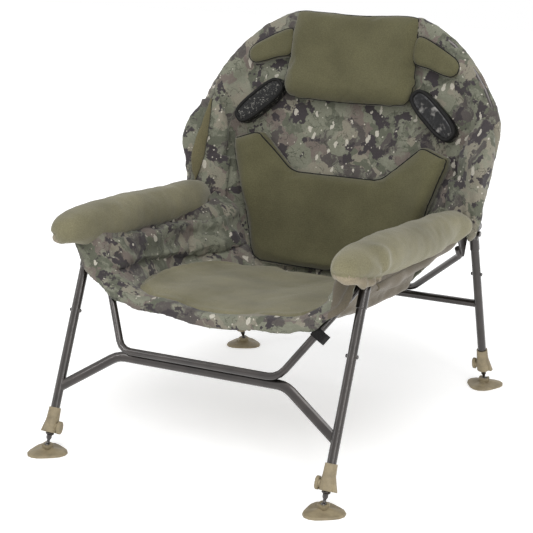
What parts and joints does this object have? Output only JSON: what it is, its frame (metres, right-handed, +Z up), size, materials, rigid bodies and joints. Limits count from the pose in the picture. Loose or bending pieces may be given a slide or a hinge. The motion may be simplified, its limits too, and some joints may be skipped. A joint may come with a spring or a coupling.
{
  "type": "folding fishing chair",
  "caption": "Padded folding fishing chair with wide arm pads, a tall rounded back with head and lumbar pads, and extending legs on tilting mud feet.",
  "frame": {"origin": "on the ground at the middle of the footprint, below the centre of the chair", "axes": "+X to the sitter's left, which is the right of the picture, +Y to the back of the chair, +Z up"},
  "size_m": [0.7878, 0.9404, 0.8656],
  "materials": {
    "bronze_steel": "glossy dark bronze powder coat",
    "khaki_plastic": "matt khaki",
    "camouflage_cloth": null,
    "olive_back_cloth": "brushed olive cloth",
    "olive_seat_cloth": "brushed light olive cloth",
    "black_net": "glossy black net",
    "black_webbing": "woven webbing"
  },
  "bodies": {
    "seat_frame": {"left_side_rail": "bronze_steel", "right_side_rail": "bronze_steel", "front_support_tube": "bronze_steel", "rear_support_tube": "bronze_steel", "front_left_bracket": "bronze_steel", "front_right_bracket": "bronze_steel", "rear_left_bracket": "bronze_steel", "rear_right_bracket": "bronze_steel", "front_left_pivot_bolt": "bronze_steel", "front_right_pivot_bolt": "bronze_steel", "rear_left_pivot_bolt": "bronze_steel", "rear_right_pivot_bolt": "bronze_steel", "back_left_pivot_bolt": "bronze_steel", "back_right_pivot_bolt": "bronze_steel", "left_arm_pad": "olive_seat_cloth", "right_arm_pad": "olive_seat_cloth", "seat_sling": "camouflage_cloth", "seat_cushion": "olive_seat_cloth", "left_side_panel": "camouflage_cloth", "right_side_panel": "camouflage_cloth", "seat_strap": "black_webbing"},
    "front_legs": {"front_left_leg_tube": "bronze_steel", "front_right_leg_tube": "bronze_steel", "front_crossbar": "bronze_steel", "front_left_leg_collar": "khaki_plastic", "front_right_leg_collar": "khaki_plastic"},
    "rear_legs": {"rear_left_leg_tube": "bronze_steel", "rear_right_leg_tube": "bronze_steel", "rear_crossbar": "bronze_steel", "rear_left_leg_collar": "khaki_plastic", "rear_right_leg_collar": "khaki_plastic"},
    "back": {"back_hoop": "bronze_steel", "back_panel": "camouflage_cloth", "lumbar_pad": "olive_back_cloth", "headrest": "olive_back_cloth", "left_vent_pad": "olive_back_cloth", "right_vent_pad": "olive_back_cloth", "left_net_pad": "black_net", "right_net_pad": "black_net", "left_wing": "camouflage_cloth", "right_wing": "camouflage_cloth"},
    "front_left_extension": {"front_left_leg_extension": "bronze_steel"},
    "front_left_foot": {"front_left_mud_foot": "khaki_plastic"},
    "front_left_knob": {"front_left_clamp_knob": "khaki_plastic"},
    "front_right_extension": {"front_right_leg_extension": "bronze_steel"},
    "front_right_foot": {"front_right_mud_foot": "khaki_plastic"},
    "front_right_knob": {"front_right_clamp_knob": "khaki_plastic"},
    "rear_left_extension": {"rear_left_leg_extension": "bronze_steel"},
    "rear_left_foot": {"rear_left_mud_foot": "khaki_plastic"},
    "rear_left_knob": {"rear_left_clamp_knob": "khaki_plastic"},
    "rear_right_extension": {"rear_right_leg_extension": "bronze_steel"},
    "rear_right_foot": {"rear_right_mud_foot": "khaki_plastic"},
    "rear_right_knob": {"rear_right_clamp_knob": "khaki_plastic"}
  },
  "joints": [
    {"name": "front_legs_fold", "type": "hinge", "parent": "seat_frame", "child": "front_legs", "pos_m": [0, -0.24384, 0.43], "axis": [1, 0, 0], "range_deg": [0, 95], "deforming": ["seat_sling", "seat_cushion", "left_side_panel", "right_side_panel"]},
    {"name": "rear_legs_fold", "type": "hinge", "parent": "seat_frame", "child": "rear_legs", "pos_m": [0, 0.32016, 0.416], "axis": [1, 0, 0], "range_deg": [-75, 0], "deforming": ["seat_sling", "seat_cushion", "left_side_panel", "right_side_panel"]},
    {"name": "back_fold", "type": "hinge", "parent": "seat_frame", "child": "back", "pos_m": [0, 0.26516, 0.412], "axis": [1, 0, 0], "range_deg": [0, 56], "deforming": ["left_wing", "right_wing", "left_side_panel", "right_side_panel", "seat_sling", "seat_cushion"]},
    {"name": "front_left_leg_extend", "type": "slide", "parent": "front_legs", "child": "front_left_extension", "axis": [0, -0.4019, -0.9157], "range_m": [0, 0.09]},
    {"name": "front_left_foot_tilt", "type": "hinge", "parent": "front_left_extension", "child": "front_left_foot", "pos_m": [-0.33, -0.42624, 0.0145], "axis": [1, 0, 0], "range_deg": [-12, 12]},
    {"name": "front_left_knob_turn", "type": "hinge", "parent": "front_legs", "child": "front_left_knob", "pos_m": [-0.313, -0.40935, 0.05296], "axis": [1, 0, 0], "range_deg": [0, 180]},
    {"name": "front_right_leg_extend", "type": "slide", "parent": "front_legs", "child": "front_right_extension", "axis": [0, -0.4019, -0.9157], "range_m": [0, 0.09]},
    {"name": "front_right_foot_tilt", "type": "hinge", "parent": "front_right_extension", "child": "front_right_foot", "pos_m": [0.33, -0.42624, 0.0145], "axis": [1, 0, 0], "range_deg": [-12, 12]},
    {"name": "front_right_knob_turn", "type": "hinge", "parent": "front_legs", "child": "front_right_knob", "pos_m": [0.313, -0.40935, 0.05296], "axis": [1, 0, 0], "range_deg": [0, 180]},
    {"name": "rear_left_leg_extend", "type": "slide", "parent": "rear_legs", "child": "rear_left_extension", "axis": [0, 0.2554, -0.9668], "range_m": [0, 0.09]},
    {"name": "rear_left_foot_tilt", "type": "hinge", "parent": "rear_left_extension", "child": "rear_left_foot", "pos_m": [-0.33, 0.42624, 0.0145], "axis": [1, 0, 0], "range_deg": [-12, 12]},
    {"name": "rear_left_knob_turn", "type": "hinge", "parent": "rear_legs", "child": "rear_left_knob", "pos_m": [-0.313, 0.41551, 0.05511], "axis": [1, 0, 0], "range_deg": [0, 180]},
    {"name": "rear_right_leg_extend", "type": "slide", "parent": "rear_legs", "child": "rear_right_extension", "axis": [0, 0.2554, -0.9668], "range_m": [0, 0.09]},
    {"name": "rear_right_foot_tilt", "type": "hinge", "parent": "rear_right_extension", "child": "rear_right_foot", "pos_m": [0.33, 0.42624, 0.0145], "axis": [1, 0, 0], "range_deg": [-12, 12]},
    {"name": "rear_right_knob_turn", "type": "hinge", "parent": "rear_legs", "child": "rear_right_knob", "pos_m": [0.313, 0.41551, 0.05511], "axis": [1, 0, 0], "range_deg": [0, 180]}
  ]
}
